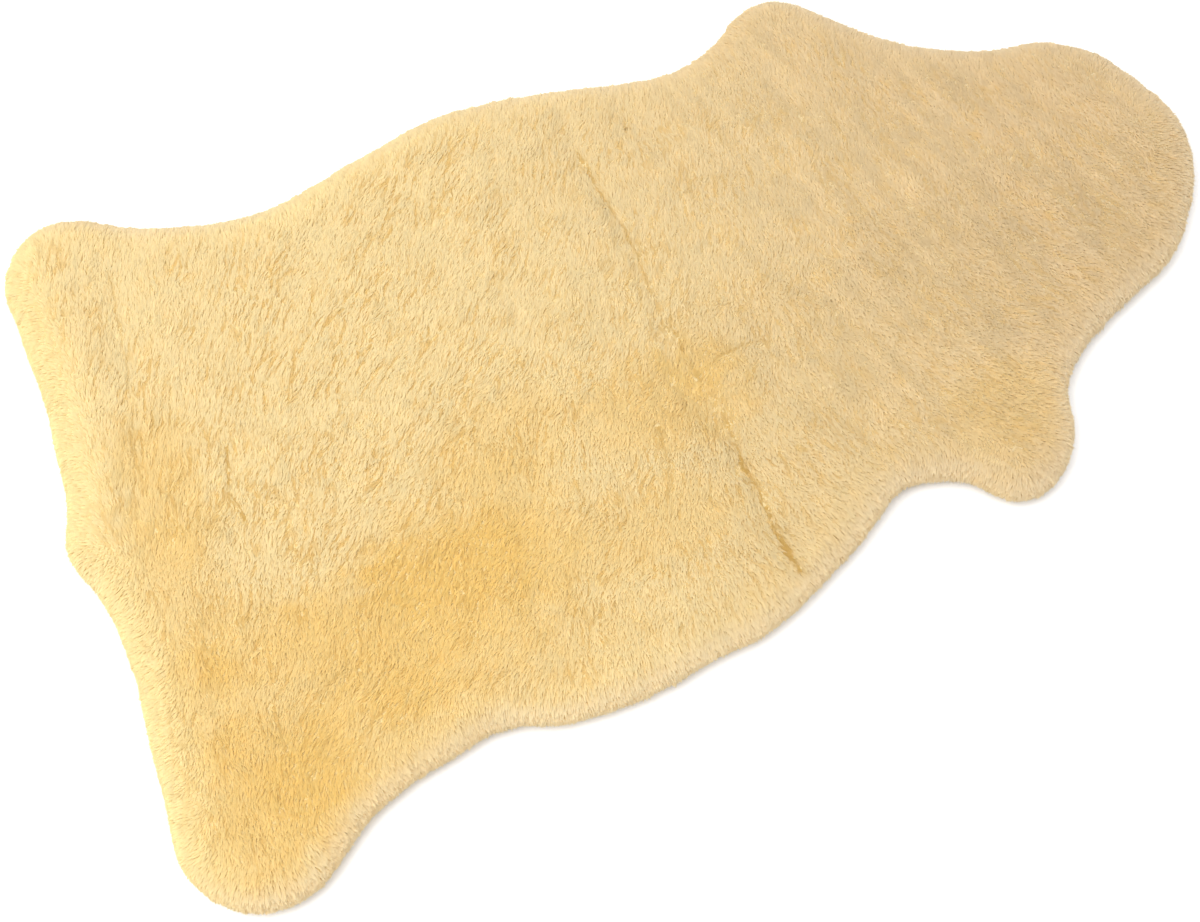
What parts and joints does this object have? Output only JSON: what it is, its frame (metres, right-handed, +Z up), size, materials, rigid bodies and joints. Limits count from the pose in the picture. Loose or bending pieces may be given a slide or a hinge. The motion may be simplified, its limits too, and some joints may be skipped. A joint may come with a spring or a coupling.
{
  "type": "sheepskin rug",
  "caption": "Flat one-piece sheepskin rug: tanned hide with a short, dense, honey-coloured fleece, rounded leg corners and a narrower neck end, lying wool side up.",
  "frame": {"origin": "middle of the rug's box in plan, on the floor under the hide", "axes": "+X along the spine from the tail to the neck, +Y the animal's left side, +Z up, wool side up"},
  "size_m": [0.9726, 0.6264, 0.0308],
  "materials": {
    "fleece": "short clipped wool, matt and dense, honey yellow with paler tips, beige towards the neck",
    "hide": "tanned flesh side, buffed to a matt suede nap"
  },
  "bodies": {
    "root": {"sheepskin": "fleece"}
  },
  "joints": []
}
